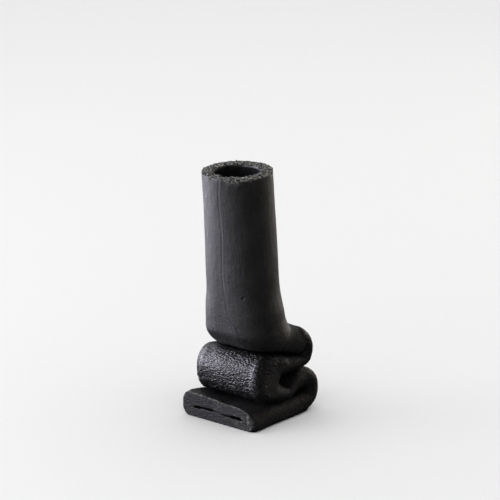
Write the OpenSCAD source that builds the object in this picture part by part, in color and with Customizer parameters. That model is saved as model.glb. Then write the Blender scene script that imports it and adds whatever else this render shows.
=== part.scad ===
// Folded stoneware vase.
// One thick-walled clay tube stands upright as the neck. Below it the tube is flattened and
// folded to and fro, so that it stacks up as a foot, two more flat runs and three folds.
// X is the width of the flattened tube, -Y is the front with the cut end of the foot, +Z is up.

/* [Clay] */
// Thickness of the clay wall
wall = 9.5; // [8:0.5:10.5]
// Height of the passage where the tube is flattened
slit = 1.8; // [1:0.2:3]

/* [Neck] */
// Length of the neck from the heel to the rim
neck_len = 154; // [120:1:180]
// Outer radius of the rim
rim_r = 33; // [30:0.5:34]
// Radius of the round bore below the rim
bore_r = 22.5; // [20:0.5:24]
// Lean of the neck towards the front, in degrees
neck_lean = 5; // [2:0.5:6]
// How far the front of the rim stands above a square cut
rim_rise = 1.9; // [0:0.1:5]
// How far the back of the rim stands below a square cut
rim_dip = 1.5; // [0:0.1:3]
// Half the width of the neck just above the heel
heel_w = 39.5; // [38:0.5:43]
// How far the front of the neck is drawn in above the heel
waist = 3; // [0:0.5:6]
// How far the back of the neck is drawn in above the upper fold
back_waist = 4; // [0:0.5:5]

/* [Folds] */
// Half the width of the foot
foot_w = 45; // [42:0.5:46]
// Half the width of the middle run
middle_w = 43; // [41:0.5:45]
// Half the width of the puffed front fold
front_w = 44.5; // [42:0.5:47]
// Half the width of the upper run and the upper fold
upper_w = 42; // [40:0.5:44]

/* [Glaze] */
// Thickness of the glaze inside the neck
glaze_t = 0.5; // [0.3:0.1:1]
// Depth of the bare clay between the rim and the glaze
glaze_drop = 3; // [1:0.5:6]

/* [Hidden] */

clay = "#2b2a2c";
clay_light = "#353436";
glaze_colour = "#15161c";
arc_steps = 6;
bore_fn = 96;
foot_corner = 5;
run_corner = 9.5;
bulge_corner = 12;
heel_corner = 30;
corner_share = 0.985;

// Side view, y from the cut end of the foot towards the back, z from the table.
// Top of the foot as [y, z]: it is pressed down under the front fold.
foot_top = [[0, 23], [25, 19.7], [45, 17.8], [62, 18.3], [80, 19.7]];
// Each fold turns about a pivot, and its outside is given as [angle turned, reach from the pivot].
lower_pivot = [80, 21.5];
lower_in = 1.8;
lower_reach = [[0, 21.5], [45, 20.9], [90, 20.3], [135, 21.2], [180, 21]];
front_pivot = [54.5, 36.2];
front_in = 5.3;
front_reach = [[0, 17.4], [25, 19.1], [39, 22.7], [54.5, 27.3], [66, 33.3], [75.5, 39.9], [83, 43.9], [90, 45.7],
    [115, 48.1], [135, 42.6], [155, 31.3], [180, 25.1]];
upper_pivot = [77.5, 57];
upper_in = 1;
upper_reach = [[0, 12.5], [20, 13], [45, 13.6], [90, 14.8], [135, 20.2], [180, 26]];
heel_pivot = [77, 86.5];
heel_in = 3.5;
heel_reach = [[0, 29.3], [20, 29], [37.5, 30.5], [51, 35], [62.5, 43.8], [70, 52.2], [75, 57.6], [81, 62.8], [86, 66.3],
    [90, 68.2]];
// The middle run is humped by this much where it lies against the upper run
middle_hump = 3.6;
// The wide part of the hollow narrows to the round bore over this share of the neck
bore_start = 0.35;
// The hollow stays this much inside the bore where the two meet
bore_lap = 0.4;
// Cuts run past a face by this much
past = 1;

// Pinched slit in the cut end of the foot, as [centre x, length]
foot_slits = [[-17, 30], [17, 26]];
foot_slit_z = 10.5;

heel_centre = heel_pivot - [(heel_in + heel_reach[9][1]) / 2, 0];
neck_up = [-sin(neck_lean), cos(neck_lean)];
neck_across = [-cos(neck_lean), -sin(neck_lean)];
rim_centre = heel_centre + neck_len * neck_up;
front_y = rim_centre[0] - rim_r * cos(neck_lean);
back_y = lower_pivot[0] + lower_reach[2][1];
middle_y = (front_y + back_y) / 2;

function mix(a, b, t) = a + (b - a) * t;
function ease(t) = t * t * (3 - 2 * t);
function dir(angle) = [cos(angle), sin(angle)];

// Smooth curve through hand-placed points [x, value]
function rise(pts, a, b) = (pts[b][1] - pts[a][1]) / (pts[b][0] - pts[a][0]);
function slope(pts, i) = rise(pts, max(i - 1, 0), min(i + 1, len(pts) - 1));
function span(pts, x, i = 0) = i >= len(pts) - 2 || x <= pts[i + 1][0] ? i : span(pts, x, i + 1);
function curve(pts, x) =
    let (i = span(pts, x))
    let (step = pts[i + 1][0] - pts[i][0])
    let (t = (x - pts[i][0]) / step)
    mix(pts[i][1], pts[i + 1][1], ease(t))
        + step * t * (1 - t) * ((1 - t) * slope(pts, i) - t * slope(pts, i + 1));

// A station is one cross-section of the tube: [P, Q, half width, corner at P, corner at Q].
// P and Q are its two edges in the side view.
function station(p, q, w, corner_p, corner_q) = [p, q, w, corner_p, corner_q];
function half_of(s) = norm(s[1] - s[0]) / 2;
function shrink(s, by, least) =
    let (half = half_of(s))
    let (inner = max(half - by, least))
    let (centre = (s[0] + s[1]) / 2)
    let (along = (s[1] - s[0]) / (2 * half))
    station(centre - along * inner, centre + along * inner, s[2] - by, max(s[3] - by, inner), max(s[4] - by, inner));

function run(p0, q0, p1, q1, w0, w1, steps, hump = 0) = [
    for (i = [0:steps])
        let (t = i / steps)
        station(mix(p0, p1, t) + [0, hump * sin(180 * t)], mix(q0, q1, t), mix(w0, w1, t), run_corner, run_corner)
];

// Sections that turn about a pivot from angle a0 to a1, with the pivot on the P or the Q side
function fold(pivot, inside, reach, a0, a1, pivot_at_p, w0, w1, corner, steps) = [
    for (i = [0:steps])
        let (t = i / steps)
        let (d = dir(mix(a0, a1, t)))
        let (near = pivot + inside * d)
        let (far = pivot + curve(reach, abs(a1 - a0) * t) * d)
        let (c = mix(run_corner, corner, sin(180 * t)))
        station(pivot_at_p ? near : far, pivot_at_p ? far : near, mix(w0, w1, t), c, c)
];

foot_stations = [
    for (i = [0:6])
        let (y = lower_pivot[0] * i / 6)
        station([y, 0], [y, curve(foot_top, y)], foot_w, foot_corner, run_corner)
];
lower_stations = concat(
    [foot_stations[6]],
    [for (i = [1:10]) fold(lower_pivot, lower_in, lower_reach, -90, 90, false, foot_w, middle_w, run_corner, 10)[i]]
);
front_stations = fold(front_pivot, front_in, front_reach, -90, -270, true, front_w, upper_w, bulge_corner, 16);
upper_fold_stations = fold(upper_pivot, upper_in, upper_reach, -90, 90, false, upper_w, upper_w, run_corner, 10);
middle_stations = run(lower_stations[10][0], lower_stations[10][1], front_stations[0][0], front_stations[0][1],
    middle_w, front_w, 5, middle_hump);
upper_stations = run(front_stations[16][0], front_stations[16][1], upper_fold_stations[0][0],
    upper_fold_stations[0][1], upper_w, upper_w, 4);

heel_stations = [
    for (i = [0:10])
        let (t = i / 10)
        let (d = dir(-90 - 90 * t))
        let (c = mix(run_corner, heel_corner, t))
        station(heel_pivot + heel_in * d, heel_pivot + curve(heel_reach, 90 * t) * d, mix(upper_w, heel_w, t), c, c)
];
neck_stations = [
    for (i = [1:10])
        let (t = i / 10)
        let (settle = 1 - pow(1 - t, 2.2))
        let (draw = t * pow(1 - t, 3) / 0.1055)
        let (rim_back = rim_centre - rim_r * neck_across - rim_dip * neck_up)
        let (p = mix(heel_stations[10][0], rim_back, t) - [back_waist * draw, 0])
        let (rim_front = rim_centre + rim_r * neck_across + rim_rise * neck_up)
        let (q = mix(heel_stations[10][1], rim_front, t) + [waist * draw, 0])
        let (c = mix(heel_corner, rim_r, settle))
        station(p, q, mix(heel_w, rim_r, settle), c, c)
];
tube_stations = concat([upper_fold_stations[10]], heel_stations, neck_stations);

// The hollow of the neck follows the outside, and narrows to the bore
function hollow(t, s) =
    let (w = ease(min(1, t / bore_start)))
    let (inner = shrink(s, wall, slit / 2))
    let (half = mix(half_of(inner), bore_r - bore_lap, w))
    let (centre = mix((s[0] + s[1]) / 2, mix(heel_centre, rim_centre, t), w))
    let (along = (s[1] - s[0]) / norm(s[1] - s[0]))
    station(centre - along * half, centre + along * half, mix(inner[2], bore_r - bore_lap, w), half, half);
hollow_start = shrink(upper_fold_stations[10], wall, slit / 2);
hollow_stations = concat(
    [station(hollow_start[0] + [past, 0], hollow_start[1] + [past, 0], hollow_start[2], hollow_start[3],
        hollow_start[4])],
    [for (s = heel_stations) shrink(s, wall, slit / 2)],
    [for (i = [0:3]) hollow((i + 1) / 10, neck_stations[i])]
);

// Rounded rectangle around a station, as points in space
function ring(s) =
    let (b = half_of(s))
    let (a = s[2])
    let (centre = (s[0] + s[1]) / 2)
    let (along = (s[1] - s[0]) / (2 * b))
    [
        for (k = [0:3], i = [0:arc_steps])
            let (r = min(k == 0 || k == 3 ? s[3] : s[4], corner_share * a, corner_share * b))
            let (turn = -90 + 90 * k + 90 * i / arc_steps)
            let (u = (k < 2 ? 1 : -1) * (a - r) + r * cos(turn))
            let (v = (k == 0 || k == 3 ? -1 : 1) * (b - r) + r * sin(turn))
            [u, centre[0] + along[0] * v - middle_y, centre[1] + along[1] * v]
    ];

ring_n = 4 * (arc_steps + 1);
function wall_faces(rows, first, outward) = [
    for (i = [0:rows - 2], j = [0:ring_n - 1], half = [0, 1])
        let (a = first + i * ring_n + j)
        let (b = first + i * ring_n + (j + 1) % ring_n)
        let (tri = half == 0 ? [a, b, b + ring_n] : [a, b + ring_n, a + ring_n])
        outward ? tri : [tri[2], tri[1], tri[0]]
];
function end_faces(outer, inner, facing_start) = [
    for (j = [0:ring_n - 1], half = [0, 1])
        let (k = (j + 1) % ring_n)
        let (tri = half == 0 ? [outer + k, outer + j, inner + j] : [outer + k, inner + j, inner + k])
        facing_start ? tri : [tri[2], tri[1], tri[0]]
];

module solid_tube(stations) {
    rows = len(stations);
    polyhedron(
        points = [for (s = stations) each ring(s)],
        faces = concat(
            wall_faces(rows, 0, true),
            [[for (j = [ring_n - 1:-1:0]) j]],
            [[for (j = [0:ring_n - 1]) (rows - 1) * ring_n + j]]
        )
    );
}

// Tube with the flattened passage left open from end to end
module open_tube(stations) {
    rows = len(stations);
    inner = rows * ring_n;
    polyhedron(
        points = concat(
            [for (s = stations) each ring(s)],
            [for (s = stations) each ring(shrink(s, wall, slit / 2))]
        ),
        faces = concat(
            wall_faces(rows, 0, true),
            wall_faces(rows, inner, false),
            end_faces(0, inner, true),
            end_faces(inner - ring_n, 2 * inner - ring_n, false)
        )
    );
}

module slot(length) {
    square([length - slit, slit], center = true);
    for (side = [-1, 1])
        translate([side * (length - slit) / 2, 0])
            circle(d = slit, $fn = 24);
}

module along_neck(from_rim) {
    translate([0, rim_centre[0] - middle_y, rim_centre[1]])
        rotate([neck_lean, 0, 0])
            translate([0, 0, from_rim])
                children();
}

module foot_run() {
    color(clay)
        difference() {
            solid_tube(foot_stations);
            for (s = foot_slits)
                translate([s[0], lower_pivot[0] + past - middle_y, foot_slit_z])
                    rotate([90, 0, 0])
                        linear_extrude(lower_pivot[0] + 2 * past)
                            slot(s[1]);
        }
}

module lower_fold() {
    color(clay_light)
        solid_tube(lower_stations);
}

module middle_run() {
    color(clay)
        open_tube(middle_stations);
}

module front_fold() {
    color(clay_light)
        open_tube(front_stations);
}

module upper_run() {
    color(clay)
        open_tube(upper_stations);
}

module upper_fold() {
    color(clay_light)
        open_tube(upper_fold_stations);
}

module neck_tube() {
    bore_len = neck_len * (1 - bore_start);
    color(clay)
        difference() {
            solid_tube(tube_stations);
            solid_tube(hollow_stations);
            along_neck(-bore_len)
                cylinder(r = bore_r, h = bore_len + rim_rise + past, $fn = bore_fn);
        }
}

module neck_glaze() {
    glaze_len = neck_len * (1 - bore_start) - glaze_drop;
    color(glaze_colour)
        along_neck(-glaze_len - glaze_drop)
            difference() {
                cylinder(r = bore_r, h = glaze_len, $fn = bore_fn);
                translate([0, 0, -past])
                    cylinder(r = bore_r - glaze_t, h = glaze_len + 2 * past, $fn = bore_fn);
            }
}

foot_run();
lower_fold();
middle_run();
front_fold();
upper_run();
upper_fold();
neck_tube();
neck_glaze();
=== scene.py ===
import math

import bpy
import numpy as np
from mathutils import Matrix, Vector


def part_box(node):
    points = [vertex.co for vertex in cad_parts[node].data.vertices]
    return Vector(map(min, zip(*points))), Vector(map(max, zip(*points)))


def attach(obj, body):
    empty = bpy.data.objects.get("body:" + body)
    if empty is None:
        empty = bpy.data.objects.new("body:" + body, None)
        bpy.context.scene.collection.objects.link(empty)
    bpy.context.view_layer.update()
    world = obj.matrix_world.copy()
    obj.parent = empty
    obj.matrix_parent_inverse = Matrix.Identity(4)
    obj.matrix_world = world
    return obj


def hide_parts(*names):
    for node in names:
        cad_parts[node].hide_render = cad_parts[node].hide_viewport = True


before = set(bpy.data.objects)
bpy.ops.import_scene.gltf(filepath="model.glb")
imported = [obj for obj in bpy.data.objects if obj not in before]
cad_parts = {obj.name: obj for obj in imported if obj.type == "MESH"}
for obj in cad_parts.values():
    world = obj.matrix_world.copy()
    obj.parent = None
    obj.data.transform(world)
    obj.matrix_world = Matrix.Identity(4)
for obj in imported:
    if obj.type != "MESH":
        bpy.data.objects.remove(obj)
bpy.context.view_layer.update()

# The clay tube is worked out in millimetres, in the side view of the CAD: y runs back from the cut
# end of the foot and z up from the table. CUT is where that cut end lies in the frame.
MM = 0.001
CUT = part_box("foot_run")[0].y / MM

# How finely the skin is divided: mm from ring to ring, and points round each ring. The rings are
# softened over a few of their neighbours.
RINGS_EVERY = 0.78
NECK_RINGS_EVERY = 1.0
FRONT_RINGS_EVERY = 0.6
COLUMNS = 280
SOFTEN_OVER = 2.2

# The tube. CORNER is the radius at the ends of its flattened section, and W is half its width. The
# front fold's corners are rounder, by another FRONT_NEAR_CORNER on the side of its pivot.
WALL = 9.5
SLIT = 1.8
FOOT_CORNER = 5
RUN_CORNER = 9.5
FRONT_CORNER = 12
FRONT_NEAR_CORNER = 8
ROUND_CORNER = 30
FOOT_LEN = 80
FOOT_W = 45
LOWER_W = 43
FRONT_W = 44.5
TOP_W = 42
MIDDLE_HUMP = 3.6

# The neck, with its torn rim, higher at the front than at the back, and its glazed bore. BORE_START
# is the share of the neck's length at which the bore turns round. Rings in the bore are level with
# the rim at the top, and square to the neck from SQUARE_BY down.
RIM_R = 33.0
RIM_EDGE = 1.3
RIM_RISE = 1.9
RIM_DIP = 1.5
NECK_LEN = 154.0
LEAN = math.radians(5)
HEEL_W = 39.5
WAIST = 3.7
BORE_R = 22.5
BORE_START = 0.35
SQUARE_BY = 30
GLAZE_T = 0.5
GLAZE_THINNEST = 0.08
GLAZE_DROP = 1.3

# The folds turn about these pivots (y, z). IN is how far the near side lies from the pivot, and
# REACH how far the far side lies from it at each angle of the turn.
LOWER_PIVOT, LOWER_IN = (80, 21.5), 1.8
FRONT_PIVOT, FRONT_IN = (54.5, 36.2), 5.3
UPPER_PIVOT, UPPER_IN = (77.5, 57), 1.0
HEEL_PIVOT, HEEL_IN = (77, 86.5), 3.5
FOOT_TOP = [(0, 23), (25, 19.7), (45, 17.8), (62, 18.3), (80, 19.7)]
LOWER_REACH = [(0, 21.5), (45, 20.9), (90, 20.3), (135, 21.2), (180, 21)]
FRONT_REACH = [(0, 17.4), (25, 19.1), (39, 22.7), (54.5, 27.3), (66, 33.3), (75.5, 39.9),
               (83, 43.9), (90, 45.7), (115, 48.1), (135, 42.6), (155, 31.3), (180, 25.1)]
UPPER_REACH = [(0, 12.5), (20, 13), (45, 13.6), (90, 14.8), (135, 20.2), (180, 26)]
HEEL_REACH = [(0, 29.3), (20, 29), (37.5, 30.5), (51, 35), (62.5, 43.8), (70, 52.2), (75, 57.6),
              (81, 62.8), (86, 66.3), (90, 68.2)]


# ---------------------------------------------------------------- noise


def ease(t):
    t = np.clip(t, 0, 1)
    return t * t * (3 - 2 * t)


def ramp(x, a, b):
    """0 at a and before, 1 at b and after, smooth between."""
    return ease((x - a) / (b - a))


def bell(x, centre, width):
    return np.exp(-(((x - centre) / width) ** 2))


# The noise takes the tube to be GIRTH mm round, and repeats after PERIOD bumps along it.
GIRTH = 200
PERIOD = 512


def waves(u, s, size_u, size_s, seed):
    """Gradient noise, about -1 to 1. u is the share of the way round, s the way along in mm."""
    around = max(2, round(GIRTH / size_u))
    turn = np.random.default_rng(seed).random((around, PERIOD)) * 2 * np.pi
    x, y = u * around, s / size_s
    ix, iy = np.floor(x).astype(int), np.floor(y).astype(int)
    fx, fy = x - ix, y - iy

    def corner(dx, dy):
        g = turn[(ix + dx) % around, (iy + dy) % PERIOD]
        return np.cos(g) * (fx - dx) + np.sin(g) * (fy - dy)

    ex, ey = ease(fx), ease(fy)
    low = corner(0, 0) * (1 - ex) + corner(1, 0) * ex
    high = corner(0, 1) * (1 - ex) + corner(1, 1) * ex
    return 1.5 * (low * (1 - ey) + high * ey)


def cells(u, s, size_u, size_s, seed):
    """Cell noise: how far inside its cell a point is, 0 on the border, and that cell's number."""
    around = max(3, round(GIRTH / size_u))
    rng = np.random.default_rng(seed)
    jitter = rng.random((around, PERIOD, 2)) * 0.9 + 0.05
    tint = rng.random((around, PERIOD))
    x, y = u * around, s / size_s
    ix, iy = np.floor(x).astype(int), np.floor(y).astype(int)
    first = np.full(x.shape, 9.0)
    second = np.full(x.shape, 9.0)
    colour = np.zeros(x.shape)
    for dx in (-1, 0, 1):
        for dy in (-1, 0, 1):
            cx, cy = (ix + dx) % around, (iy + dy) % PERIOD
            d = np.hypot(ix + dx + jitter[cx, cy, 0] - x, iy + dy + jitter[cx, cy, 1] - y)
            colour = np.where(d < first, tint[cx, cy], colour)
            second = np.where(d < first, first, np.minimum(second, d))
            first = np.minimum(first, d)
    return second - first, colour


# ---------------------------------------------------------------- the two sides of the tube
# P and Q are the middles of the tube's two broad sides. P starts under the foot and ends at the
# back of the neck. Q starts on top of the foot and ends at the front of the neck. T runs along each
# stretch.


def curve(pts, x):
    """Smooth curve through given points (x, value), the same one as in the CAD."""
    xs, vs = np.array(pts, float).T
    x = np.clip(x, xs[0], xs[-1])
    i = np.clip(np.searchsorted(xs, x, side="right") - 1, 0, len(xs) - 2)
    lo = np.maximum(np.arange(len(xs)) - 1, 0)
    hi = np.minimum(np.arange(len(xs)) + 1, len(xs) - 1)
    slope = (vs[hi] - vs[lo]) / (xs[hi] - xs[lo])
    step = xs[i + 1] - xs[i]
    t = (x - xs[i]) / step
    bend = (1 - t) * slope[i] - t * slope[i + 1]
    return vs[i] + (vs[i + 1] - vs[i]) * ease(t) + step * t * (1 - t) * bend


T = np.linspace(0, 1, 241)
HUMP = np.sin(np.pi * T)


def rows(p, q, width, corner_p, corner_q):
    """A row of numbers for each ring: P (y, z), Q (y, z), half width, corner at P, corner at Q."""
    ones = np.ones_like(T)
    return np.column_stack([p, q, width * ones, corner_p * ones, corner_q * ones])


def fold(pivot, inside, reach, angles, widths, corner, pivot_at_p=True, near_corner=0):
    """A stretch that turns about a pivot. corner is its middle's radius, or one for each ring."""
    turned = (angles[1] - angles[0]) * T
    turn = np.radians(angles[0] + turned)
    d = np.column_stack([np.cos(turn), np.sin(turn)])
    near = np.array(pivot) + inside * d
    far = np.array(pivot) + curve(reach, np.abs(turned))[:, None] * d
    c = corner if np.ndim(corner) else RUN_CORNER + (corner - RUN_CORNER) * HUMP
    w = widths[0] + (widths[1] - widths[0]) * T
    if pivot_at_p:
        return rows(near, far, w, c + near_corner * HUMP, c)
    return rows(far, near, w, c, c)


def run(start, end, hump=0):
    """A flat stretch from one ring to another, whose P side swells by hump in its middle."""
    p = start[0:2] + (end[0:2] - start[0:2]) * T[:, None]
    q = start[2:4] + (end[2:4] - start[2:4]) * T[:, None]
    p[:, 1] += hump * HUMP
    return rows(p, q, start[4] + (end[4] - start[4]) * T, RUN_CORNER, RUN_CORNER)


lower = fold(LOWER_PIVOT, LOWER_IN, LOWER_REACH, (-90, 90), (FOOT_W, LOWER_W), RUN_CORNER, False)
front = fold(
    FRONT_PIVOT, FRONT_IN, FRONT_REACH, (-90, -270), (FRONT_W, TOP_W), FRONT_CORNER,
    near_corner=FRONT_NEAR_CORNER,
)
upper = fold(UPPER_PIVOT, UPPER_IN, UPPER_REACH, (-90, 90), (TOP_W, TOP_W), RUN_CORNER, False)
heel_corner = RUN_CORNER + (ROUND_CORNER - RUN_CORNER) * T
heel = fold(HEEL_PIVOT, HEEL_IN, HEEL_REACH, (-90, -180), (TOP_W, HEEL_W), heel_corner)
foot_y = FOOT_LEN * T
foot_top = np.column_stack([foot_y, curve(FOOT_TOP, foot_y)])
foot = rows(np.column_stack([foot_y, 0 * T]), foot_top, FOOT_W, FOOT_CORNER, RUN_CORNER)
middle = run(lower[-1], front[0], MIDDLE_HUMP)
upper_run = run(front[-1], upper[0])

heel_centre = np.array([HEEL_PIVOT[0] - (HEEL_IN + HEEL_REACH[-1][1]) / 2, HEEL_PIVOT[1]])
across = np.array([-math.cos(LEAN), -math.sin(LEAN)])
along_neck = np.array([-math.sin(LEAN), math.cos(LEAN)])
rim_centre = heel_centre + NECK_LEN * along_neck

# The neck's width settles fast at first, and its back is drawn in most a quarter of the way up.
settle = 1 - (1 - T) ** 2.2
draw = T * (1 - T) ** 3 / 0.1055
rim_p = rim_centre - RIM_R * across - RIM_DIP * along_neck
rim_q = rim_centre + RIM_R * across + RIM_RISE * along_neck
neck_p = heel[-1, 0:2] + (rim_p - heel[-1, 0:2]) * T[:, None]
neck_q = heel[-1, 2:4] + (rim_q - heel[-1, 2:4]) * T[:, None]
neck_p[:, 0] -= WAIST * draw
neck_w = HEEL_W + (RIM_R - HEEL_W) * settle + 1.0 * bell(T, 0.14, 0.07) - 0.9 * bell(T, 0.26, 0.12)
neck_corner = ROUND_CORNER + (RIM_R - ROUND_CORNER) * settle
neck = rows(neck_p, neck_q, neck_w, neck_corner, neck_corner)

PARTS = [
    "foot_run", "lower_fold", "middle_run", "front_fold", "upper_run", "upper_fold", "heel", "neck",
]
parts = [foot, lower, middle, front, upper_run, upper, heel, neck]
RINGS_EVERY_IN = {"front_fold": FRONT_RINGS_EVERY, "neck": NECK_RINGS_EVERY}
rings, starts, travel = [], [0], [0.0]
for name, part in zip(PARTS, parts):
    p_step = np.hypot(*np.diff(part[:, 0:2], axis=0).T)
    q_step = np.hypot(*np.diff(part[:, 2:4], axis=0).T)
    way = np.concatenate([[0], np.cumsum(np.maximum(p_step, q_step))])
    count = max(8, round(way[-1] / RINGS_EVERY_IN.get(name, RINGS_EVERY)))
    at = np.linspace(0, way[-1], count + 1)
    dense = np.column_stack([np.interp(at, way, part[:, k]) for k in range(7)])
    rings.append(dense if not rings else dense[1:])
    travel += list(travel[-1] + at[1:])
    starts.append(starts[-1] + count)
rings = np.concatenate(rings)
travel = np.array(travel)
START = dict(zip(PARTS + ["rim"], starts))


def soften(a, sigma):
    """Gaussian smoothing along the first axis, with both ends held."""
    reach = int(3 * sigma) + 1
    w = np.exp(-0.5 * (np.arange(-reach, reach + 1) / sigma) ** 2)
    w /= w.sum()
    head = 2 * a[0] - a[reach:0:-1]
    tail = 2 * a[-1] - a[-2:-reach - 2:-1]
    full = np.concatenate([head, a, tail])
    return np.stack([np.convolve(full[:, k], w, mode="valid") for k in range(a.shape[1])], 1)


rings = soften(rings, SOFTEN_OVER)

# ---------------------------------------------------------------- cross-sections


def outline(a, b, rp, rq):
    """Points evenly round rounded rectangles, from the middle of the P side towards +X."""
    a, b = a[:, None], b[:, None]
    rp = np.minimum(np.minimum(rp[:, None], 0.995 * a), 0.995 * b)
    rq = np.minimum(np.minimum(rq[:, None], 0.995 * a), 0.995 * b)
    ends = np.cumsum(
        [a - rp, rp * np.pi / 2, np.maximum(2 * b - rp - rq, 0), rq * np.pi / 2, a - rq], axis=0
    )
    half = np.arange(COLUMNS // 2 + 1) / (COLUMNS // 2)
    d = half[None, :] * ends[4]
    turn_p = (d - ends[0]) / rp
    turn_q = (d - ends[2]) / rq
    stages = [d <= ends[k] for k in range(4)]
    u = np.select(
        stages,
        [d, a - rp + rp * np.sin(turn_p), a + 0 * d, a - rq + rq * np.cos(turn_q)],
        ends[4] - d,
    )
    v_up, v_over = -b + rp - rp * np.cos(turn_p), b - rq + rq * np.sin(turn_q)
    v = np.select(stages, [-b + 0 * d, v_up, -b + rp + d - ends[1], v_over], b + 0 * d)
    u = np.concatenate([u, -u[:, -2:0:-1]], 1)
    v = np.concatenate([v, v[:, -2:0:-1]], 1)
    for _ in range(3):
        u = (np.roll(u, 1, 1) + 2 * u + np.roll(u, -1, 1)) / 4
        v = (np.roll(v, 1, 1) + 2 * v + np.roll(v, -1, 1)) / 4
    return u, v


def space(p, q, u, v):
    """Points in space, in mm, with y from the cut end of the foot."""
    half = np.hypot(*(q - p).T) / 2
    e = (q - p) / (2 * half[:, None])
    c = (p + q) / 2
    return np.stack([u, c[:, 0:1] + e[:, 0:1] * v, c[:, 1:2] + e[:, 1:2] * v], 2)


def inner_row(row):
    """The hollow inside a ring, one wall in, flattened where the tube is flattened."""
    p, q = row[:, 0:2], row[:, 2:4]
    half = np.hypot(*(q - p).T) / 2
    e = (q - p) / (2 * half[:, None])
    c = (p + q) / 2
    inner = np.maximum(half - WALL, SLIT / 2)
    corner = np.maximum(row[:, 5] - WALL, inner)
    return c - e * inner[:, None], c + e * inner[:, None], row[:, 4] - WALL, inner, corner


ROUND = np.arange(COLUMNS) / COLUMNS
half_thick = np.hypot(*(rings[:, 2:4] - rings[:, 0:2]).T) / 2
outer_u, outer_v = outline(rings[:, 4], half_thick, rings[:, 5], rings[:, 6])
outer = space(rings[:, 0:2], rings[:, 2:4], outer_u, outer_v)

# The foot is pressed lower on the right, with a rounder shoulder there, and stands higher on the
# left behind the cut. Its left end is rounded underneath. Each point is an x and a share of the
# height.
SHOULDER = [(-45, 1.0), (-39, 1.0), (-21.7, 0.985), (-3, 0.95), (6, 0.9), (20, 0.885), (35, 0.81),
            (42.3, 0.66), (45, 0.6)]
LEFT_RISE = [(-45, 0.17), (-40, 0.14), (-34, 0.10), (-24, 0.05), (-12, 0.0)]
foot_part = outer[:START["lower_fold"] + 1]
foot_x, from_cut = foot_part[..., 0], foot_part[..., 1]
press = (1 - curve(SHOULDER, foot_x)) * (1 - ramp(from_cut, 4, 34))
rise = curve(LEFT_RISE, foot_x) * ramp(from_cut, -3, 9) * (1 - ramp(from_cut, 20, 46))
foot_part[..., 2] *= 1 - press + rise
UNDER_FROM, UNDER_LEN, UNDER_HIGH = -36.5, 8.5, 9.5
under = np.clip((UNDER_FROM - foot_x) / UNDER_LEN, 0, 1)
under = UNDER_HIGH * (1 - np.sqrt(1 - under ** 2)) * (1 - ramp(from_cut, 3, 16))
foot_part[..., 2] = np.maximum(foot_part[..., 2], under)

# ---------------------------------------------------------------- the whole skin, ring by ring
# From the blind end of the slit: slit, cut face, outside of the folds and neck, rim, bore.

# The edge of the cut is worn round, most of all at its right end.
face_outline = outer[0].copy()
right_end = ramp(face_outline[:, 0], 36, 43.5)
left_end = ramp(-face_outline[:, 0], 38.5, 43.5)
edge_r = 0.7 + 3.7 * right_end + 0.5 * left_end

# The slit: its height above the table and how far it gapes, at each x
SLIT_Z = [(-33, 9.7), (-26, 10.2), (-17, 10.7), (-9, 11.0), (-2, 10.9), (3, 9.9), (10, 9.9),
          (18, 10.2), (24, 10.0), (31, 9.5)]
SLIT_GAP = [(-33, 0), (-31, 1.2), (-27, 2.9), (-23, 2.8), (-20, 2.0), (-16, 2.3), (-12, 2.9),
            (-8, 2.3), (-4, 1.1), (-2, 0.2), (0, 0.12), (2, 0.12), (4, 0.9), (8, 1.6), (13, 2.2),
            (17, 3.1), (23, 3.5), (28, 2.6), (31, 0)]
SLIT_MIDDLE, SLIT_HALF = -1, 32
slit_x = SLIT_MIDDLE + face_outline[:, 0] / FOOT_W * SLIT_HALF
side = np.sign(outer_v[0])
ragged = waves(ROUND, 0 * ROUND + 3, 2.2, 5, 11) * 0.45
ragged += waves(ROUND, 0 * ROUND + 9, 5, 5, 12) * 0.35
gap = curve(SLIT_GAP, slit_x)
flat = ramp(np.abs(outer_v[0]), 0, 6)
slit_z = curve(SLIT_Z, slit_x) + side * np.maximum(gap * (0.5 + 0.35 * ragged), 0.06) * flat

FACE_STEPS = 15
SLIT_STEPS = 16
SLIT_DEEP = 26


def inset(ring, by):
    """Moves a ring inwards in its own plane."""
    tangent = np.roll(ring, -1, 0) - np.roll(ring, 1, 0)
    n = np.stack([-tangent[:, 2], tangent[:, 0]], 1)
    n /= np.hypot(*n.T)[:, None] + 1e-12
    middle = ring[:, [0, 2]].mean(0)
    out = (ring[:, [0, 2]] - middle) * n
    n *= np.where(out.sum(1).mean() > 0, -1, 1)
    moved = ring.copy()
    moved[:, 0] += n[:, 0] * by
    moved[:, 2] += n[:, 1] * by
    return moved


def rounding(y):
    """How far the worn edge of the cut stands in from the skin, y behind the cut."""
    return edge_r - np.sqrt(np.maximum(edge_r ** 2 - np.maximum(edge_r - y, 0) ** 2, 0))


edge_y = np.array([0, 0.04, 0.16, 0.36, 0.62])
edge_rings = []
for y in edge_y:
    ring = inset(face_outline, rounding(y))
    ring[:, 1] = y
    edge_rings.append(ring)
FIRST_OUTER, LAST_ROUNDED = 2, 7
for i in range(FIRST_OUTER, LAST_ROUNDED + 1):
    outer[i] = inset(outer[i], rounding(outer[i, :, 1]))

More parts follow.
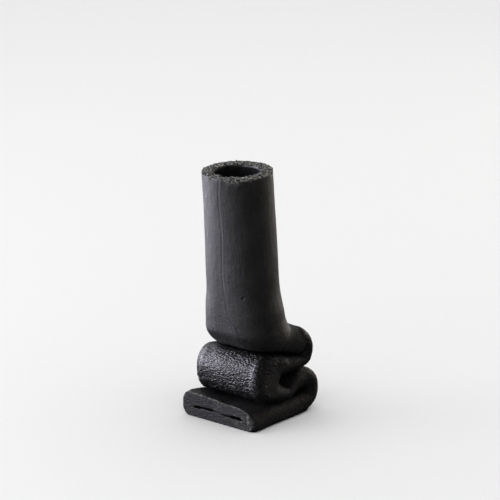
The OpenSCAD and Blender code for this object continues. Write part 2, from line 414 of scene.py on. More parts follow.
slit_loop = np.stack([slit_x, 0 * slit_x, slit_z], 1)
face_rings = []
for k in range(1, FACE_STEPS + 1):
    t = k / FACE_STEPS
    face_rings.append(edge_rings[0] * (1 - t) + slit_loop * t)
slit_rings = []
slit_middle = curve(SLIT_Z, slit_x)
slit_y = SLIT_DEEP * (np.arange(1, SLIT_STEPS + 1) / SLIT_STEPS) ** 1.6
for k in range(1, SLIT_STEPS + 1):
    ring = slit_loop.copy()
    ring[:, 1] = slit_y[k - 1]
    ring[:, 2] = slit_middle + (slit_z - slit_middle) * (1 - 0.5 * k / SLIT_STEPS)
    slit_rings.append(ring)
head = np.array(slit_rings[::-1] + face_rings[::-1] + edge_rings)
FACE_EVERY = 0.8
head_s = np.concatenate([
    -FACE_EVERY * FACE_STEPS - slit_y[::-1], -np.arange(FACE_STEPS, 0, -1) * FACE_EVERY, edge_y,
])

# Rim band, bore and the hollow above the heel
top_p, top_q = rings[-1, 0:2], rings[-1, 2:4]
rim_c = (top_p + top_q) / 2
rim_e = (top_q - top_p) / np.hypot(*(top_q - top_p))
down = -along_neck
one = np.array([1.0])
circle_u, circle_v = (way_round[0] for way_round in outline(one, one, one, one))


def hoop(radius, deep):
    """Round rings inside the neck, deep mm below the rim, turning square to the neck lower down."""
    e = rim_e + (across - rim_e) * ramp(deep, 0, SQUARE_BY)[..., None]
    v = circle_v * radius
    y = rim_c[0] + down[0] * deep + e[..., 0] * v
    z = rim_c[1] + down[1] * deep + e[..., 1] * v
    return np.stack([circle_u * radius, y, z], -1)


# Both edges of the rim are quarter rounds, divided at these angles. QUARTER is their length.
EDGE_TURNS = (30, 60, 90)
QUARTER = 1.57 * RIM_EDGE
tail, tail_s = [], []
for turn in EDGE_TURNS:
    a = math.radians(turn)
    tail.append(hoop(RIM_R - RIM_EDGE + RIM_EDGE * math.cos(a), RIM_EDGE * (1 - math.sin(a))))
    tail_s.append(turn / 90 * QUARTER)
for r in np.linspace(RIM_R - RIM_EDGE - 0.7, BORE_R + RIM_EDGE, 10):
    tail.append(hoop(r, 0))
    tail_s.append(QUARTER + RIM_R - RIM_EDGE - r)
flat_end_s = tail_s[-1]
for turn in EDGE_TURNS:
    a = math.radians(turn)
    tail.append(hoop(BORE_R + RIM_EDGE - RIM_EDGE * math.sin(a), RIM_EDGE * (1 - math.cos(a))))
    tail_s.append(flat_end_s + turn / 90 * QUARTER)
band_count = len(tail)
# The bore, with closer rings as deep as it is seen, stands just behind its glaze.
SEEN_DEEP = 26
bore_deep = np.concatenate([
    np.arange(2, SEEN_DEEP, 0.8), np.arange(SEEN_DEEP + 1, NECK_LEN * (1 - BORE_START), 3.2),
])
BEHIND_GLAZE = 0.12
for deep in bore_deep:
    tail.append(hoop(BORE_R + BEHIND_GLAZE * ramp(deep, GLAZE_DROP - 1, GLAZE_DROP), deep))
    tail_s.append(tail_s[band_count - 1] + deep)
tail = np.array(tail)
tail_s = travel[-1] + np.array(tail_s)

# The round bore goes over into the flattened hollow of the heel.
neck_from = START["neck"]
neck_count = START["rim"] - neck_from
BORE_END_R = BORE_R - 0.4
below = []
for t in np.linspace(BORE_START - 0.03, 0, 12):
    p, q, w, half, _ = inner_row(rings[neck_from + int(round(t * neck_count))][None])
    k = ease(t / BORE_START)
    c = (p + q)[0] / 2 * (1 - k) + (heel_centre + (rim_centre - heel_centre) * t) * k
    b = half * (1 - k) + BORE_END_R * k
    a = w * (1 - k) + BORE_END_R * k
    e = (q - p)[0] / np.hypot(*(q - p)[0])
    u, v = outline(a, b, b, b)
    below.append(space((c - e * b)[None], (c + e * b)[None], u, v)[0])
for i in np.linspace(neck_from - 2, START["heel"], 16).round().astype(int):
    p, q, w, half, corner = inner_row(rings[i][None])
    u, v = outline(w, half, corner, corner)
    below.append(space(p, q, u, v)[0])
below = np.array(below)
below_s = tail_s[-1] + 3.0 * np.arange(1, len(below) + 1)

skin = np.concatenate([head, outer[FIRST_OUTER:], tail, below])
along = np.concatenate([head_s, travel[FIRST_OUTER:], tail_s, below_s])
HEAD = len(head)
SKIN_OF = {name: HEAD + START[name] - FIRST_OUTER for name in START}
N_SKIN = len(skin)


def normals(grid):
    """Normals of a grid of rings, pointing out of the clay."""
    ring_way = np.gradient(grid, axis=0)
    column_way = np.roll(grid, -1, 1) - np.roll(grid, 1, 1)
    n = np.cross(ring_way, column_way)
    return n / (np.linalg.norm(n, axis=2, keepdims=True) + 1e-12)


def spacing(grid):
    """How far apart neighbouring rings are at each point."""
    step = np.linalg.norm(np.diff(grid, axis=0), axis=2)
    return np.concatenate([step[:1], (step[1:] + step[:-1]) / 2, step[-1:]])


# ---------------------------------------------------------------- relief
# In each line below, the number in front is a depth in mm, and waves() and cells() take the sizes
# of their bumps round and along the tube in mm, and a seed. U is the share of the way round: 0 at
# the middle of the P side, 0.25 on the right and 0.5 at the middle of the Q side. S is the way
# along.

U = np.broadcast_to(ROUND[None, :], skin.shape[:2])
S = np.broadcast_to(along[:, None], skin.shape[:2])
X, Z = skin[..., 0], skin[..., 2]
ring_no = np.arange(N_SKIN)[:, None] + 0 * U.astype(int)


def between(a, b, blend=10):
    """1 on the rings from a to b, fading over a few rings past them."""
    return ramp(ring_no, a - blend, a + blend) * (1 - ramp(ring_no, b - blend, b + blend))


on_slit = (ring_no < SLIT_STEPS).astype(float)
on_face = ((ring_no >= SLIT_STEPS) & (ring_no < SLIT_STEPS + FACE_STEPS)).astype(float)
rim_at = SKIN_OF["rim"]
on_band = ((ring_no > rim_at) & (ring_no <= rim_at + band_count)).astype(float)
in_bore = (ring_no > rim_at + band_count).astype(float)
on_neck = ramp(ring_no, SKIN_OF["heel"] + 20, SKIN_OF["neck"]) * (1 - on_band) * (1 - in_bore)
on_heel = between(SKIN_OF["heel"] + 12, SKIN_OF["neck"], 12) * (1 - on_neck * 0.5)
on_front = between(SKIN_OF["front_fold"] + 14, SKIN_OF["upper_run"] - 6, 16)
outside = ((ring_no >= HEAD) & (ring_no <= rim_at)).astype(float)

# relief follows the skin's normals. The marks go to the materials: one for freshly broken clay,
# which on the lip of the cut is partly a painted highlight; one for painted shade, darkening
# hollows, creases, pits and the slit; and dull, a stretch with its own roughness. MARKS, further
# on, adds where the clay is pebbly.
relief = np.zeros(skin.shape[:2])
torn_and_lip_highlight = np.zeros(skin.shape[:2])
# Painted shade: the inside of the slit is darkened all through.
painted_hollow_shade = on_slit.copy()

# The front fold's corners: filled out on the right, rounded off on the left
base_n = normals(skin)
forward = np.maximum(-base_n[..., 1], 0) ** 2 * on_front
to_right, to_left = np.maximum(base_n[..., 0], 0), np.maximum(-base_n[..., 0], 0)
relief += 6.5 * to_right * forward - 9.0 * to_left * forward

# The heel's sides swell out above the upper fold.
from_q = np.abs(U - 0.5)
shoulder = between(SKIN_OF["heel"] - 4, SKIN_OF["neck"] + 5, 9) * ramp(from_q, 0.20, 0.36)
swell = 1.3 * outside * shoulder

# Hand-made unevenness and the fine tooth of the clay everywhere
relief += outside * (0.42 - 0.22 * on_neck) * waves(U, S, 40, 46, 21)
relief += outside * (0.20 - 0.08 * on_neck) * waves(U, S, 16, 20, 22)
relief += outside * (0.07 + 0.05 * (1 - on_neck)) * waves(U, S, 6, 7, 23)
tooth = waves(U, S, 2.4, 2.4, 24) * 0.6 + waves(U, S, 1.5, 1.6, 25) * 0.4
relief += outside * (0.09 + 0.12 * (1 - on_neck)) * tooth

# Upright streaks along the neck, where it was smoothed by hand
streak = waves(U, S, 3.2, 40, 31) * 0.6 + waves(U, S, 1.9, 26, 32) * 0.4
relief += on_neck * (0.08 * streak + 0.05 * waves(U, S, 5, 5, 33))

# Pebbled skin of the front fold: squeezed cells, longer across the fold, strongest on the right
warp_u = U + 0.011 * waves(U, S, 11, 9, 41) + 0.004 * waves(U, S, 4, 4, 42)
warp_s = S + 2.2 * waves(U, S, 14, 10, 43) + 0.7 * waves(U, S, 4, 4, 44)
inside, tint = cells(warp_u, warp_s, 2.9, 1.6, 45)
fine_inside, _ = cells(warp_u + 0.3, warp_s, 1.7, 1.2, 46)
pebble = np.clip(inside / 0.5, 0, 1)
pebble = pebble * (2 - pebble)
fine_pebble = np.clip(fine_inside / 0.6, 0, 1)
ripple = np.sin(2 * np.pi * (warp_s / 2.3 + 0.8 * waves(U, S, 9, 7, 47)))
rightness = ramp(X, -34, 18)
front_from, front_to = SKIN_OF["front_fold"], SKIN_OF["upper_run"]
front_t = np.clip((ring_no - front_from) / (front_to - front_from), 0, 1)
underside = 1 - ramp(front_t, 0.22, 0.42)
bulge = ramp(from_q, 0.268, 0.208)
strength = on_front * (0.04 + 0.96 * bulge) * (0.44 + 0.93 * rightness) * (0.8 + 0.6 * underside)
pebbles = 0.56 * (pebble - 0.7) + 0.34 * (fine_pebble - 0.6)
relief += strength * (pebbles + 0.20 * ripple + 0.22 * (tint - 0.5))
# Painted shade in the creases between the pebbles
painted_hollow_shade += strength * (1 - pebble)

# Pits on the front fold's underside, and deeper creases low on its left, both darkened with painted
# shade
pits = ramp(waves(warp_u, warp_s, 4.5, 3.2, 48), 0.30, 0.6)
relief -= on_front * bulge * underside * 1.3 * pits * (0.5 + 0.5 * rightness)
painted_hollow_shade += on_front * bulge * underside * pits * 0.9
low_left = (1 - ramp(front_t, 0.30, 0.56)) * (1 - 0.55 * rightness)
creases = waves(warp_u, warp_s, 9, 2.6, 50)
relief += on_front * bulge * low_left * (1.1 * creases + 0.6 * waves(warp_u, warp_s, 4, 2.2, 56))
painted_crease_shade = ramp(creases + 0.6 * waves(warp_u, warp_s, 4, 2.2, 57), -0.35, 0.25)
painted_hollow_shade += on_front * bulge * low_left * painted_crease_shade

# Duller clay on the front fold's ends, and from the upper fold into the right of the heel
past_heel = ring_no >= SKIN_OF["heel"]
dull = on_front * (1 - bulge)
dull += ramp(ring_no, SKIN_OF["heel"] - 50, SKIN_OF["heel"]) * ~past_heel
into_neck = 1 - ramp(ring_no, SKIN_OF["heel"] + 20, SKIN_OF["neck"] + 18)
dull += outside * past_heel * into_neck * ramp(X, -14, 20)

# Painted shade under the left of the heel, where it faces down
painted_heel_shade = 1 - ramp(ring_no, SKIN_OF["heel"] + 60, SKIN_OF["neck"] - 8)
painted_heel_shade *= outside * past_heel * (1 - ramp(X, -5, 25)) * ramp(0.3 - from_q, 0, 0.12)
painted_hollow_shade += 0.75 * painted_heel_shade * (0.8 + 0.6 * waves(U, S, 6, 5, 58))

# Crackled skin on the runs, the back folds and the heel
crackle, _ = cells(warp_u, warp_s, 4.4, 2.8, 49)
crackle = np.clip(crackle / 0.35, 0, 1)
on_runs = outside * (1 - on_neck) * (1 - on_front) * (1 - on_heel)
relief += on_runs * 0.42 * (crackle - 0.8)
relief += on_heel * 0.42 * (crackle - 0.8)

# Seam down the front of the neck, a shallow groove with a raised right lip, deeper towards the
# heel, and darkened with painted shade. Each point is a height and the share of the way round.
SEAM = [(85, 0.425), (91.5, 0.4357), (98, 0.457), (110.6, 0.475), (125, 0.484), (139.7, 0.4893),
        (160, 0.486), (183, 0.4786), (219, 0.482), (240, 0.474)]
NECK_GIRTH = 205
from_seam = (U - curve(SEAM, Z)) * NECK_GIRTH
seam_on = on_neck * ramp(ring_no, SKIN_OF["neck"] - 14, SKIN_OF["neck"] + 6)
seam_on *= 1 + 1.1 * (1 - ramp(Z, 92, 125))
relief -= seam_on * 0.30 * bell(from_seam, 0, 0.75)
relief += seam_on * 0.12 * bell(from_seam, -1.6, 1.0)
painted_hollow_shade += seam_on * 0.8 * bell(from_seam, 0, 0.6)

# Pit in the neck, darkened with painted shade
PIT_U, PIT_Z, PIT_GIRTH = 0.393, 124.8, 215
pit = np.hypot((U - PIT_U) * PIT_GIRTH, Z - PIT_Z)
relief -= outside * on_neck * 0.9 * bell(pit, 0, 1.15)
relief += outside * on_neck * 0.15 * bell(pit, 2.0, 0.8)
painted_hollow_shade += outside * on_neck * bell(pit, 0, 1.2)

# Torn clay on the rim, with a bevelled patch at the front and a notch on the right
grit, grit_tint = cells(U, S, 2.4, 2.0, 51)
grit = np.clip(grit / 0.55, 0, 1)
gritty = 0.8 * (grit - 0.6) + 1.0 * (grit_tint - 0.5) + 0.5 * waves(U, S, 4.5, 4.5, 52)
band_end = rim_at + band_count
near_rim = ramp(ring_no, rim_at - 2, rim_at + 1) * (1 - ramp(ring_no, band_end - 1, band_end + 3))
relief += near_rim * (0.55 + 0.85 * on_band) * gritty
relief += near_rim * on_band * (0.5 * waves(U, S * 0, 18, 9, 53) + 0.55 * waves(U, S * 0, 6, 9, 55))
# Painted shade between the crumbs of the rim
painted_hollow_shade += near_rim * (1 - grit) * 0.9
torn_and_lip_highlight = np.maximum(torn_and_lip_highlight, near_rim)
wall_down = (rim_at - ring_no) * NECK_RINGS_EVERY
wave_edge = 1.2 * waves(U, 0 * S + 2, 7, 5, 54)


def tear(start, end, wander, down_to, cut, shade, shade_at):
    """Clay torn off the outside of the rim: how deep it is cut, and its torn mark."""
    area = ramp(U, *start) * (1 - ramp(U, *end))
    area = area * (1 - ramp(wall_down + wander * wave_edge, *down_to)) * (ring_no <= rim_at + 4)
    broken = shade * ramp(area + 0.35 * gritty, *shade_at) * (area > 0.02)
    return area * (cut[0] + cut[1] * gritty), broken


front_tear = tear((0.315, 0.345), (0.42, 0.465), 1.6, (0.5, 6.0), (1.2, 1.1), 0.68, (0.25, 1.15))
right_tear = tear((0.125, 0.145), (0.18, 0.205), 1, (1.4, 4.0), (1.1, 1.2), 0.75, (0.15, 0.9))
for cut_depth, broken in (front_tear, right_tear):
    relief -= cut_depth
    torn_and_lip_highlight = np.maximum(torn_and_lip_highlight, broken)

# Cut face of the foot: wire marks, and crumbs by the right slit and at the right end
across_cut = X / (2 * FOOT_W) + 0.5
face_noise = 0.22 * waves(across_cut, Z, 1.6, 2.2, 61) + 0.16 * waves(across_cut, Z, 14, 1.2, 62)
crumbs = ramp(X, 12, 22) * bell(Z, 9, 5) + 0.7 * bell(X, 38, 5)
crumbs += 0.5 * bell(X, -1, 5) * ramp(Z, 11, 15)
relief += on_face * (face_noise + crumbs * 0.40 * gritty)
torn_and_lip_highlight = np.maximum(torn_and_lip_highlight, on_face * np.clip(crumbs, 0, 1) * 0.28)

# Relief fades where the rings crowd together, so that it can't fold the skin over itself.
CROWDED = 0.35
relief *= np.clip(spacing(skin) / CROWDED, 0, 1) * (1 - on_slit)
skin = skin + base_n * (relief + swell)[..., None]

# Burrs along the lower edge of the cut
burrs = bell(ring_no, SLIT_STEPS + FACE_STEPS + 1, 2.2) * (1 - ramp(Z, 8, 16))
skin = skin + base_n * (burrs * 0.9 * waves(U, 0 * S, 2.6, 5, 64))[..., None]

# The lip of the cut: the top edge is dragged up where the wire left the clay. It takes some of the
# lighter torn colour, partly broken clay and partly a painted highlight along the edge.
lip = np.exp(-((along - 0.2) / 0.7) ** 2)[:, None] * (ring_no >= SLIT_STEPS + FACE_STEPS - 2)
lip = lip * np.where(Z > 14, 1, 0) * (1 - ramp(X, 24, 34))
torn_and_lip_highlight = np.maximum(torn_and_lip_highlight, 0.4 * np.clip(lip, 0, 1))
skin[..., 2] += lip * (0.85 + 0.45 * waves(U, 0 * S, 4, 5, 63) * ramp(X, -2, 6))

# It stands flat on the table.
skin[..., 2] = np.maximum(skin[..., 2], 0.05 * ramp(tooth, -0.6, 0.9))
skin_n = normals(skin)

# ---------------------------------------------------------------- pieces


def to_frame(points):
    """From millimetres behind the cut of the foot to metres in the frame."""
    out = np.array(points, float)
    out[..., 1] += CUT
    return out * MM


def grid_faces(rows_n, offset=0, outward=True):
    """The faces between rings of points, the first of which starts at offset."""
    i = np.arange(rows_n - 1)[:, None] * COLUMNS + offset
    j = np.arange(COLUMNS)[None, :]
    k = (j + 1) % COLUMNS
    quads = np.stack([i + COLUMNS + j, i + COLUMNS + k, i + k, i + j], 2).reshape(-1, 4)
    return quads if outward else quads[:, ::-1]


def annulus(outer_first, inner_first, facing_start):
    """A flat joint between an outer ring and an inner one."""
    j = np.arange(COLUMNS)
    k = (j + 1) % COLUMNS
    quads = np.stack([outer_first + j, outer_first + k, inner_first + k, inner_first + j], 1)
    return quads if facing_start else quads[:, ::-1]


def zipped(first, facing_start):
    """Closes a ring by joining each point on one side with its twin on the other."""
    half = COLUMNS // 2
    j = np.arange(1, half - 1)
    quads = np.stack([first + j, first + j + 1, first + COLUMNS - j - 1, first + COLUMNS - j], 1)
    ends = first + np.array([[0, 1, COLUMNS - 1], [half, half + 1, half - 1]])
    if facing_start:
        return quads, ends
    return quads[:, ::-1], ends[:, ::-1]


NO_TRIS = np.zeros((0, 3), int)


def build(name, points, quads, tris, vertex_normals, flat_quads, marks):
    """A closed mesh. Its quads take the skin's normals, so that pieces meet without a line."""
    faces = [tuple(f) for f in quads] + [tuple(f) for f in flat_quads] + [tuple(f) for f in tris]
    mesh = bpy.data.meshes.new(name)
    mesh.from_pydata(to_frame(points).tolist(), [], [tuple(int(v) for v in f) for f in faces])
    mesh.update()
    mesh.polygons.foreach_set("use_smooth", np.ones(len(faces), bool))
    loop_vertex = np.zeros(len(mesh.loops), int)
    mesh.loops.foreach_get("vertex_index", loop_vertex)
    face_normal = np.zeros(len(faces) * 3)
    mesh.polygons.foreach_get("normal", face_normal)
    face_normal = face_normal.reshape(-1, 3)
    sizes = np.zeros(len(faces), int)
    mesh.polygons.foreach_get("loop_total", sizes)
    of_face = np.repeat(np.arange(len(faces)), sizes)
    on_skin = (of_face < len(quads))[:, None]
    loop_normal = np.where(on_skin, vertex_normals[loop_vertex], face_normal[of_face])
    mesh.normals_split_custom_set(loop_normal.tolist())
    for label, values in marks.items():
        attribute = mesh.attributes.new(label, "FLOAT", "POINT")
        attribute.data.foreach_set("value", np.asarray(values, np.float32))
    obj = bpy.data.objects.new(name, mesh)
    bpy.context.scene.collection.objects.link(obj)
    return obj


MARKS = {
    "torn_and_lip_highlight": torn_and_lip_highlight,
    "painted_hollow_shade": np.clip(painted_hollow_shade, 0, 1),
    "pebbly": on_front * (0.1 + 0.9 * bulge),
    "dull": np.clip(dull, 0, 1),
}


def marks_for(first, last, extra=0):
    """What the materials read on the rings from first to last, and 0 at extra more points."""
    pad, span = np.zeros(extra), slice(first, last + 1)
    return {label: np.concatenate([values[span].ravel(), pad]) for label, values in MARKS.items()}


def tube_piece(name, start, end, hollow=True):
    """The skin from the start of one stretch to the start of another, with flat joints."""
    first, last = SKIN_OF[start], SKIN_OF[end]
    pts = [skin[first:last + 1].reshape(-1, 3)]
    nrm = [skin_n[first:last + 1].reshape(-1, 3)]
    rows_n = last - first + 1
    quads = grid_faces(rows_n)
    flat, tris, extra = [], [NO_TRIS], 0
    if hollow:
        a, b = first - HEAD + FIRST_OUTER, last - HEAD + FIRST_OUTER
        picks = np.linspace(a, b, max(3, (b - a) // 6)).round().astype(int)
        p, q, w, half, corner = inner_row(rings[picks])
        u, v = outline(w, half, corner, corner)
        inner = space(p, q, u, v)
        base = rows_n * COLUMNS
        extra = len(picks) * COLUMNS
        pts.append(inner.reshape(-1, 3))
        nrm.append(-normals(inner).reshape(-1, 3))
        quads = np.concatenate([quads, grid_faces(len(picks), base, False)])
        flat.append(annulus(0, base, True))
        flat.append(annulus((rows_n - 1) * COLUMNS, base + (len(picks) - 1) * COLUMNS, False))
    else:
        for at, facing_start in ((0, True), ((rows_n - 1) * COLUMNS, False)):
            cap, ends = zipped(at, facing_start)
            flat.append(cap)
            tris.append(ends)
    return build(
        name, np.concatenate(pts), quads, np.concatenate(tris), np.concatenate(nrm),
        np.concatenate(flat), marks_for(first, last, extra),
    )


def foot_piece():
    """The skin from the blind end of the slit to the lower fold."""
    last = SKIN_OF["lower_fold"]
    rows_n = last + 1
    caps, ends = zip(zipped(0, True), zipped((rows_n - 1) * COLUMNS, False))
    return build(
        "foot_run_clay", skin[:last + 1].reshape(-1, 3), grid_faces(rows_n), np.concatenate(ends),
        skin_n[:last + 1].reshape(-1, 3), np.concatenate(caps), marks_for(0, last),
    )


def neck_piece():
    """The skin from the heel over the rim and down the bore, closed where the heel starts."""
    first, last = SKIN_OF["heel"], N_SKIN - 1
    rows_n = last - first + 1
    return build(
        "neck_tube_clay", skin[first:].reshape(-1, 3), grid_faces(rows_n), NO_TRIS,
        skin_n[first:].reshape(-1, 3), annulus(0, (rows_n - 1) * COLUMNS, True),
        marks_for(first, last),
    )


def glaze_piece():
    """A thin glassy sleeve with a wandering upper edge where the brush stopped."""
    glaze_end = NECK_LEN * (1 - BORE_START) - GLAZE_DROP
    depths = np.concatenate([np.arange(0, 24, 0.8), np.arange(24, glaze_end, 3.0)])
    u = ROUND[None, :] + 0 * depths[:, None]
    s = depths[:, None] + 0 * u
    wander = 0.5 * waves(ROUND, 0 * ROUND, 16, 5, 71)
    edge = GLAZE_DROP + wander + 0.3 * waves(ROUND, 0 * ROUND + 5, 5, 5, 72)
    runs = 1 + 0.35 * waves(u, s, 9, 30, 73) + 0.15 * waves(u, s, 3, 14, 74)
    thick = GLAZE_T * ramp(s, -0.6, 1.6) * runs
    top = edge[None, :] * np.exp(-s / 12) + GLAZE_DROP * (1 - np.exp(-s / 12))
    inner = hoop(BORE_R - np.maximum(thick, GLAZE_THINNEST), s + top)
    back = hoop(BORE_R + 0 * thick, s + top)
    rows_n = len(depths)
    base = rows_n * COLUMNS
    pts = np.concatenate([inner.reshape(-1, 3), back.reshape(-1, 3)])
    inner_n = -normals(inner[::-1])[::-1]
    nrm = np.concatenate([inner_n.reshape(-1, 3), -inner_n.reshape(-1, 3)])
    quads = np.concatenate([grid_faces(rows_n), grid_faces(rows_n, base, False)])
    last_row = (rows_n - 1) * COLUMNS
    flat = np.concatenate([annulus(0, base, True), annulus(last_row, base + last_row, False)])
    return build("neck_liner_glaze", pts, quads, NO_TRIS, nrm, flat, {})


pieces = {
    "foot_run": foot_piece(),
    "lower_fold": tube_piece("lower_fold_clay", "lower_fold", "middle_run", hollow=False),
    "middle_run": tube_piece("middle_run_clay", "middle_run", "front_fold"),
    "front_fold": tube_piece("front_fold_clay", "front_fold", "upper_run"),
    "upper_run": tube_piece("upper_run_clay", "upper_run", "upper_fold"),
    "upper_fold": tube_piece("upper_fold_clay", "upper_fold", "heel"),
    "neck_tube": neck_piece(),
    "neck_glaze": glaze_piece(),
}

# ---------------------------------------------------------------- materials


def nodes_of(name):
    material = bpy.data.materials.new(name)
    material.use_nodes = True
    tree = material.node_tree
    return material, tree, tree.nodes["Principled BSDF"]


def noise_node(tree, vector, scale, detail, roughness):
    node = tree.nodes.new("ShaderNodeTexNoise")
    node.inputs["Scale"].default_value = scale
    node.inputs["Detail"].default_value = detail
    node.inputs["Roughness"].default_value = roughness
    tree.links.new(vector, node.inputs["Vector"])
    return node.outputs["Fac"]


def value_ramp(tree, factor, stops):
    """A colour ramp. A stop's colour is three numbers, or one for grey."""
    node = tree.nodes.new("ShaderNodeValToRGB")
    elements = node.color_ramp.elements
    while len(elements) < len(stops):
        elements.new(0.5)
    for element, (position, colour) in zip(elements, stops):
        element.position = position
        element.color = (*colour, 1) if len(colour) == 3 else (colour[0],) * 3 + (1,)
    tree.links.new(factor, node.inputs["Fac"])
    return node.outputs["Color"]


def feed(tree, socket, value):
    """Sets a socket to a number or a colour, or links it to another node's output."""
    if isinstance(value, (int, float)):
        socket.default_value = value
    elif isinstance(value, tuple):
        socket.default_value = (*value, 1)
    else:
        tree.links.new(value, socket)


MIX_FACTOR, MIX_A, MIX_B, MIX_RESULT = 0, 6, 7, 2


def mix_colour(tree, factor, a, b):
    node = tree.nodes.new("ShaderNodeMix")
    node.data_type = "RGBA"
    feed(tree, node.inputs[MIX_FACTOR], factor)
    feed(tree, node.inputs[MIX_A], a)
    feed(tree, node.inputs[MIX_B], b)
    return node.outputs[MIX_RESULT]


def arith(tree, operation, a, b):
    node = tree.nodes.new("ShaderNodeMath")
    node.operation = operation
    feed(tree, node.inputs[0], a)
    feed(tree, node.inputs[1], b)
    return node.outputs[0]


def mark(tree, name):
    """A number that the mesh carries at each of its points."""
    node = tree.nodes.new("ShaderNodeAttribute")
    node.attribute_name = name
    return node.outputs["Fac"]


def add_bump(tree, shader, height, depth):
    bump = tree.nodes.new("ShaderNodeBump")
    bump.inputs["Distance"].default_value = depth
    bump.inputs["Strength"].default_value = 1.0
    tree.links.new(height, bump.inputs["Height"])
    tree.links.new(bump.outputs["Normal"], shader.inputs["Normal"])


TORN_DARK = (0.004, 0.0038, 0.0033)
TORN_GREY = (0.045, 0.044, 0.039)
TORN_LIGHT = (0.42, 0.41, 0.36)
# Painted shade in the hollows of torn clay
TORN_PAINTED_SHADE = (0.006, 0.006, 0.005)
TORN_ROUGH = 0.85
SPECK_GAIN = 2.4
# How dark painted shade makes the clay's hollows
PAINTED_SHADE_GAIN = 0.35


def clay(name, dark, light, rough, dull_rough, ior, grain, grain_depth, smooth_ends=False):
    """Unglazed black stoneware: mottled, specked, olive-grey where torn, painted shade in hollows.
    """
    material, tree, shader = nodes_of(name)
    where = tree.nodes.new("ShaderNodeTexCoord").outputs["Object"]
    broad = noise_node(tree, where, 38, 3, 0.55)
    fine = noise_node(tree, where, 420, 4, 0.6)
    specks = noise_node(tree, where, 1150, 2, 0.5)
    painted_shade_mark, torn_and_highlight_mark = mark(tree, "painted_hollow_shade"), mark(tree, "torn_and_lip_highlight")

    tone = value_ramp(tree, broad, [(0.32, dark), (0.68, light)])
    tone = mix_colour(tree, value_ramp(tree, fine, [(0.35, (0.0,)), (0.7, (0.55,))]), tone, light)
    speck_tone = tuple(min(1, SPECK_GAIN * c) for c in light)
    speck_share = value_ramp(tree, specks, [(0.66, (0.0,)), (0.76, (0.7,))])
    tone = mix_colour(tree, speck_share, tone, speck_tone)
    # Painted shade: hollows, creases, pits and the slit are darkened
    painted_shade_tone = tuple(PAINTED_SHADE_GAIN * c for c in dark)
    tone = mix_colour(tree, arith(tree, "MULTIPLY", painted_shade_mark, 0.75), tone, painted_shade_tone)
    crumbs = noise_node(tree, where, 560, 3, 0.62)
    torn_tone = value_ramp(tree, crumbs, [(0.40, TORN_DARK), (0.50, TORN_GREY), (0.60, TORN_LIGHT)])
    # Painted shade darkens torn clay in its hollows too
    torn_tone = mix_colour(tree, painted_shade_mark, torn_tone, TORN_PAINTED_SHADE)
    # The torn colour also paints a highlight along the lip of the cut.
    tree.links.new(mix_colour(tree, torn_and_highlight_mark, tone, torn_tone), shader.inputs["Base Color"])

    roughness = value_ramp(tree, fine, [(0.25, (rough - 0.12,)), (0.75, (rough + 0.04,))])
    roughness = mix_colour(tree, mark(tree, "dull"), roughness, (dull_rough,) * 3)
    patchy = arith(tree, "MULTIPLY", arith(tree, "SUBTRACT", broad, 0.25), 0.2)
    roughness = arith(tree, "ADD", roughness, patchy)
    roughness = mix_colour(tree, torn_and_highlight_mark, roughness, (TORN_ROUGH,) * 3)
    tree.links.new(roughness, shader.inputs["Roughness"])
    shader.inputs["IOR"].default_value = ior

    coarse_grain = noise_node(tree, where, grain, 5, 0.62)
    fine_grain = noise_node(tree, where, grain * 3.1, 2, 0.5)
    height = arith(tree, "ADD", coarse_grain, arith(tree, "MULTIPLY", fine_grain, 0.35))
    if smooth_ends:
        share = arith(tree, "ADD", arith(tree, "MULTIPLY", mark(tree, "pebbly"), 0.75), 0.25)
        height = arith(tree, "MULTIPLY", height, share)
    add_bump(tree, shader, height, grain_depth)
    return material


def glaze(name):
    """Thin dark glaze, glossy with faint runs."""
    material, tree, shader = nodes_of(name)
    where = tree.nodes.new("ShaderNodeTexCoord").outputs["Object"]
    squeeze = tree.nodes.new("ShaderNodeMapping")
    squeeze.inputs["Scale"].default_value = (1, 1, 0.16)
    tree.links.new(where, squeeze.inputs["Vector"])
    runs = noise_node(tree, squeeze.outputs["Vector"], 320, 3, 0.5)
    thin, middling = (0.0035, 0.0026, 0.0020), (0.0050, 0.0046, 0.0066)
    thick = (0.020, 0.018, 0.028)
    tone = value_ramp(tree, runs, [(0.3, thin), (0.55, middling), (0.75, thick)])
    tree.links.new(tone, shader.inputs["Base Color"])
    smudges = noise_node(tree, where, 500, 3, 0.5)
    roughness = value_ramp(tree, smudges, [(0.3, (0.28,)), (0.7, (0.5,))])
    tree.links.new(roughness, shader.inputs["Roughness"])
    add_bump(tree, shader, runs, 0.0003)
    return material


plain = clay(
    "black_clay", (0.0030, 0.0027, 0.0027), (0.0082, 0.0075, 0.0074),
    rough=0.56, dull_rough=0.40, ior=1.32, grain=900, grain_depth=0.00036,
)
pebbled = clay(
    "pebbled_clay", (0.0036, 0.0034, 0.0036), (0.0100, 0.0094, 0.0100),
    rough=0.33, dull_rough=0.58, ior=1.34, grain=1000, grain_depth=0.00045, smooth_ends=True,
)
smoothed = clay(
    "smoothed_clay", (0.0050, 0.0044, 0.0045), (0.0100, 0.0090, 0.0092),
    rough=0.49, dull_rough=0.66, ior=1.56, grain=1000, grain_depth=0.0003,
)
FINISH = {
    "foot_run": ("stoneware", plain),
    "lower_fold": ("stoneware", plain),
    "middle_run": ("stoneware", plain),
    "front_fold": ("pebbled_stoneware", pebbled),
    "upper_run": ("stoneware", plain),
    "upper_fold": ("stoneware", plain),
    "neck_tube": ("smoothed_stoneware", smoothed),
    "neck_glaze": ("liner_glaze", glaze("dark_glaze")),
}
for node, (slot, material) in FINISH.items():
    piece = pieces[node]
    piece.data.materials.append(material)
    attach(piece, "root")
    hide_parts(node)

# ---------------------------------------------------------------- floor, light and camera


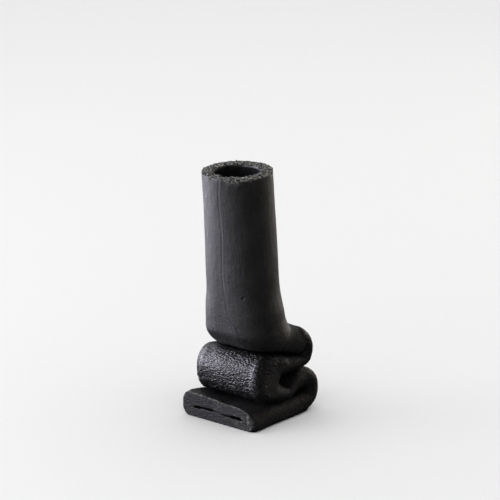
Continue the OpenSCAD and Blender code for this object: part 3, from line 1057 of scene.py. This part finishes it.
def floor():
    size = 14
    mesh = bpy.data.meshes.new("floor")
    corners = [(-size, -size, 0), (size, -size, 0), (size, size, 0), (-size, size, 0)]
    mesh.from_pydata(corners, [], [(0, 1, 2, 3)])
    obj = bpy.data.objects.new("floor", mesh)
    bpy.context.scene.collection.objects.link(obj)
    material, _, shader = nodes_of("floor_paper")
    shader.inputs["Base Color"].default_value = (0.86, 0.86, 0.86, 1)
    shader.inputs["Roughness"].default_value = 0.8
    shader.inputs["Specular IOR Level"].default_value = 0.2
    mesh.materials.append(material)
    obj.visible_glossy = False


AIM = Vector((0, 0, 0.1))


def softbox(name, azimuth, elevation, distance, width, height, watts, tint=(1, 1, 1)):
    """A soft light round the object; azimuth 0 is in front, 90 on the right."""
    light = bpy.data.lights.new(name, "AREA")
    light.shape = "RECTANGLE"
    light.size, light.size_y = width, height
    light.energy = watts
    light.color = tint
    a, e = math.radians(azimuth), math.radians(elevation)
    obj = bpy.data.objects.new(name, light)
    bpy.context.scene.collection.objects.link(obj)
    way_out = Vector((math.sin(a) * math.cos(e), -math.cos(a) * math.cos(e), math.sin(e)))
    obj.location = AIM + distance * way_out
    obj.rotation_euler = (AIM - obj.location).to_track_quat("-Z", "Y").to_euler()
    obj.visible_camera = False
    return obj


# The camera's place: degrees round to the right from the front, degrees up, and its field of view
AZIMUTH, ELEVATION, FIELD = 40, 16, 11
floor()

# Name, azimuth from the camera's own side, elevation, distance, width, height, watts, tint, and
# whether it shows only in reflections (True) or only in diffuse light (False). Clay this dark is
# shaped by reflections.
LIGHTS = [
    ("wash_left", -88, 38, 2.6, 1.3, 1.3, 7, (1, 1, 1), False),
    ("key_left", -120, 12, 1.8, 0.9, 0.9, 68, (1.0, 0.98, 1.12), True),
    ("key_side", -92, 12, 1.8, 0.9, 0.75, 42, (1.0, 0.98, 1.12), True),
    ("front", -16, 12, 1.8, 0.9, 0.9, 1.8, (1.04, 1, 1), True),
    ("front_left", -48, 12, 1.8, 0.9, 0.9, 15, (1.02, 0.98, 1.1), True),
    ("back_left", -150, 38, 1.8, 0.9, 0.9, 12.5, (1, 1, 1.04), True),
    ("back_high", 180, 65, 2.0, 1.2, 1.2, 7, (1, 1, 1), True),
    ("right", 104, 14, 1.8, 1.4, 0.9, 3.5, (1.08, 1, 0.93), True),
    ("back_right", 142, 12, 1.8, 1.2, 1.2, 13, (1.08, 1, 0.9), True),
]
for name, side_of_camera, *place_and_power, gloss in LIGHTS:
    light = softbox(name, AZIMUTH + side_of_camera, *place_and_power)
    light.visible_diffuse, light.visible_glossy = not gloss, gloss

# A glow that lies on the floor at the left and faces up, seen in the undersides
bounce = softbox("bounce_left", AZIMUTH - 100, 0, 0.85, 1.0, 1.0, 0.8, (1, 1, 1.06))
bounce.location.z = 0.01
bounce.rotation_euler = (math.pi, 0, math.radians(AZIMUTH - 100))
bounce.visible_diffuse = False

# A wash that faces down on to the floor behind the object
wash = softbox("wash_back", AZIMUTH + 180, 0, 1.4, 1.5, 1.5, 2.4)
wash.location.z = 1.6
wash.rotation_euler = (0, 0, 0)
wash.visible_glossy = False

world = bpy.data.worlds.new("studio")
world.use_nodes = True
background = world.node_tree.nodes["Background"]
background.inputs["Color"].default_value = (1, 1, 1, 1)
background.inputs["Strength"].default_value = 0.93
world.cycles_visibility.glossy = False
bpy.context.scene.world = world
bpy.context.scene.view_settings.view_transform = "Standard"

# The camera frames a view of this width, in metres, at the foot's front right corner, which lies
# this far to the right of and above the middle of the view.
VIEW_WIDTH = 0.46503
CORNER_RIGHT, CORNER_UP = 0.00372, -0.170945
CORNER_X = 43.5
az, el = math.radians(AZIMUTH), math.radians(ELEVATION)
right = Vector((math.cos(az), math.sin(az), 0))
back = Vector((math.sin(az) * math.cos(el), -math.cos(az) * math.cos(el), math.sin(el)))
up = back.cross(right)
foot_corner = Vector((CORNER_X, CUT, 0)) * MM
away = VIEW_WIDTH / 2 / math.tan(math.radians(FIELD / 2))
camera = bpy.data.objects.new("camera", bpy.data.cameras.new("camera"))
bpy.context.scene.collection.objects.link(camera)
camera.data.angle = math.radians(FIELD)
camera.data.clip_start, camera.data.clip_end = 0.1, 60
camera.location = foot_corner - right * CORNER_RIGHT - up * CORNER_UP + back * away
camera.rotation_mode = "QUATERNION"
camera.rotation_quaternion = Matrix((right, up, back)).transposed().to_quaternion()
bpy.context.scene.camera = camera
